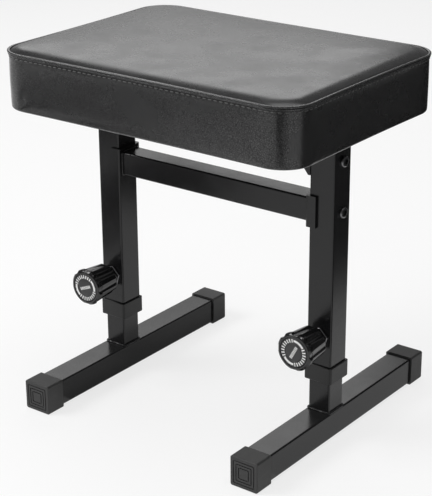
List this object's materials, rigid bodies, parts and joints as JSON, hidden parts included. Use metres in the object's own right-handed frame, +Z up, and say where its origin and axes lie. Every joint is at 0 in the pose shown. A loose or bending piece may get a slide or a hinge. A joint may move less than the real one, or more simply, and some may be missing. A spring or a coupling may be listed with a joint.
{
  "type": "keyboard bench",
  "caption": "Padded keyboard bench on a square-tube H-frame, with telescopic legs set by sprung pull-pin knobs.",
  "frame": {"origin": "on the floor, in the middle of the four end caps", "axes": "+Z up; -Y towards the knobs; +X along the crossbar, from the left leg to the right leg as seen from the knobs"},
  "size_m": [0.4038, 0.349, 0.4369],
  "materials": {
    "powder_coated_steel": "satin",
    "zinc_steel": "satin",
    "black_plastic": "matte",
    "cap_rubber": "matte",
    "knob_plastic": "gloss",
    "black_vinyl": "satin",
    "seat_foam": "matte",
    "plywood": "matte",
    "dust_cloth": "matte"
  },
  "bodies": {
    "left_leg": {"left_foot_tube": "powder_coated_steel", "left_front_cap": "cap_rubber", "left_rear_cap": "cap_rubber", "left_post": "powder_coated_steel", "left_post_guide": "black_plastic"},
    "right_leg": {"right_foot_tube": "powder_coated_steel", "right_front_cap": "cap_rubber", "right_rear_cap": "cap_rubber", "right_post": "powder_coated_steel", "right_post_guide": "black_plastic"},
    "seat_frame": {"left_upright": "powder_coated_steel", "left_collar": "black_plastic", "left_crossbar_channel": "powder_coated_steel", "left_seat_bracket": "powder_coated_steel", "left_pin_housing": "zinc_steel", "left_pin_spring": "zinc_steel", "right_upright": "powder_coated_steel", "right_collar": "black_plastic", "right_crossbar_channel": "powder_coated_steel", "right_seat_bracket": "powder_coated_steel", "right_pin_housing": "zinc_steel", "right_pin_spring": "zinc_steel", "crossbar": "powder_coated_steel", "frame_bolts": "zinc_steel", "frame_nuts": "zinc_steel", "seat_bracket_screws": "zinc_steel", "seat_t_nuts": "zinc_steel", "seat_board": "plywood", "seat_foam": "seat_foam", "seat_dust_cover": "dust_cloth", "seat_top_panel": "black_vinyl", "seat_side_band": "black_vinyl", "seat_welt": "black_vinyl"},
    "left_plunger": {"left_pin": "zinc_steel", "left_knob_screw": "zinc_steel"},
    "right_plunger": {"right_pin": "zinc_steel", "right_knob_screw": "zinc_steel"},
    "left_knob": {"left_knob": "knob_plastic", "left_knob_face": "knob_plastic"},
    "right_knob": {"right_knob": "knob_plastic", "right_knob_face": "knob_plastic"}
  },
  "joints": [
    {"name": "height_slide", "type": "slide", "parent": "left_leg", "child": "seat_frame", "axis": [0, 0, 1], "range_m": [0, 0.075]},
    {"name": "right_leg_slide", "type": "slide", "parent": "seat_frame", "child": "right_leg", "axis": [0, 0, -1], "range_m": [0, 0.075]},
    {"name": "left_knob_pull", "type": "slide", "parent": "seat_frame", "child": "left_plunger", "axis": [0, -1, 0], "range_m": [-0.005, 0.004], "stiffness_N_per_m": 400, "springref_m": -0.005, "deforming": ["left_pin_spring"]},
    {"name": "left_knob_turn", "type": "hinge", "parent": "left_plunger", "child": "left_knob", "pos_m": [-0.152, -0.0315, 0.128], "axis": [0, -1, 0], "continuous": true},
    {"name": "right_knob_pull", "type": "slide", "parent": "seat_frame", "child": "right_plunger", "axis": [0, -1, 0], "range_m": [-0.005, 0.004], "stiffness_N_per_m": 400, "springref_m": -0.005, "deforming": ["right_pin_spring"]},
    {"name": "right_knob_turn", "type": "hinge", "parent": "right_plunger", "child": "right_knob", "pos_m": [0.152, -0.0315, 0.128], "axis": [0, -1, 0], "continuous": true}
  ],
  "couplings": [
    {"joint": "right_leg_slide", "follows": "height_slide", "ratio": 1}
  ]
}
